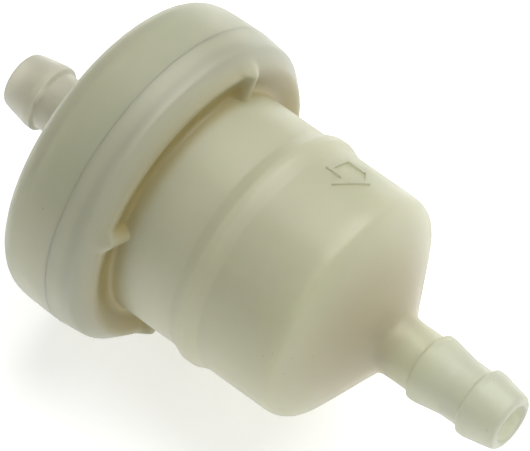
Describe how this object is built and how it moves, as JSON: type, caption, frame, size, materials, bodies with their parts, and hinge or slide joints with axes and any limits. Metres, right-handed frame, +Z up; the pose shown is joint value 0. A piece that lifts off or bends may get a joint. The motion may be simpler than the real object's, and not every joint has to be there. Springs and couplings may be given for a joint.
{
  "type": "fuel filter",
  "caption": "In-line fuel filter with a wide round inlet drum, a smaller barrel with a conical end and a barbed hose nipple at each end.",
  "frame": {"origin": "middle of the filter's length, on the flow axis", "axes": "+X along the flow, from the inlet nipple to the outlet nipple; +Z up as pictured"},
  "size_m": [0.0662, 0.0366, 0.0366],
  "materials": {
    "housing_plastic": "milky translucent natural nylon, soft satin",
    "cap_plastic": "milky translucent natural nylon, soft satin",
    "gasket_rubber": "matt black nitrile rubber",
    "frame_plastic": "opaque natural nylon",
    "filter_paper": "resin-treated filter paper",
    "pleat_glue": "set amber adhesive"
  },
  "bodies": {
    "root": {"outlet_housing": "housing_plastic", "inlet_cap": "cap_plastic", "frame_gasket": "gasket_rubber", "element_frame": "frame_plastic", "filter_paper": "filter_paper", "open_end_glue": "pleat_glue", "closed_end_glue": "pleat_glue", "element_end_cap": "frame_plastic"}
  },
  "joints": []
}
